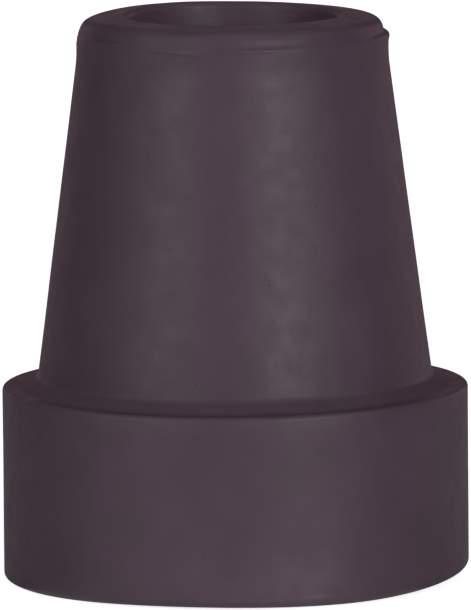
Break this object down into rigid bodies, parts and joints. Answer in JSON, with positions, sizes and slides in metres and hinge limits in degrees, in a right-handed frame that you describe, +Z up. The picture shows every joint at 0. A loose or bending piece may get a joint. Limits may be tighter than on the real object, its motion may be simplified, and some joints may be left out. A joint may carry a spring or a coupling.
{
  "type": "rubber cane tip",
  "caption": "Moulded rubber foot for a cane or walking stick: a wide grooved base and a tapered sleeve with a blind socket that grips the shaft",
  "frame": {"origin": "the centre of the sole, on the floor that the tip stands on", "axes": "+Z runs up the tip's own axis and out of the socket's mouth, towards the cane; the tip is round, so +X and +Y are any two directions square to it"},
  "size_m": [0.042, 0.042, 0.051],
  "materials": {
    "rubber": "matte"
  },
  "bodies": {
    "root": {"cane_tip": "rubber"}
  },
  "joints": []
}
